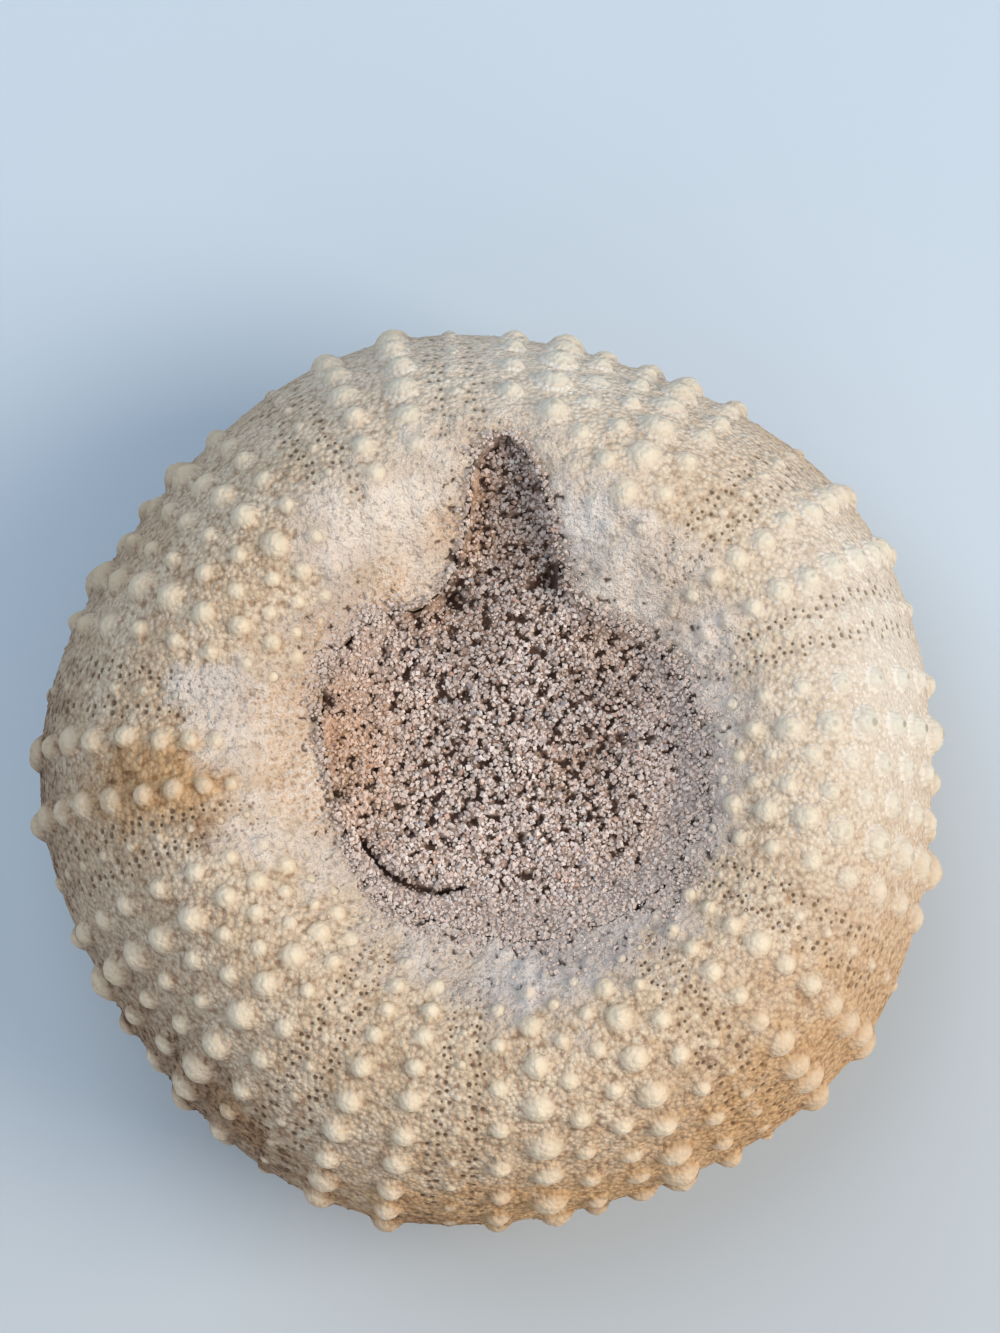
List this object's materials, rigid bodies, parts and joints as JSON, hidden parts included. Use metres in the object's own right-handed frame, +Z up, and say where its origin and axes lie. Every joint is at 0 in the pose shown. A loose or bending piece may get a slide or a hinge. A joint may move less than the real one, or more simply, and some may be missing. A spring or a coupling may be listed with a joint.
{
  "type": "fossil sea urchin",
  "caption": "Fossil sea urchin lying mouth side up: a flattened globe of knobbly limestone plates whose sunken, slotted mouth is packed with coarse cemented sand.",
  "frame": {"origin": "on the surface it rests on, below the middle of the shell", "axes": "+Z up, out of the mouth side; +Y towards the slot broken out of the mouth's edge; +X to the right when the slot points away from the viewer"},
  "size_m": [0.0699, 0.0691, 0.0321],
  "materials": {
    "calcite_test": "chalky cream and honey-tan limestone shell, matt, with a pale dusty crust round the mouth and rust stains",
    "sandstone_fill": "coarse cemented sand, pinkish cream grains with dark voids between them, matt and rough"
  },
  "bodies": {
    "root": {"test": "calcite_test", "sand_fill": "sandstone_fill"}
  },
  "joints": []
}
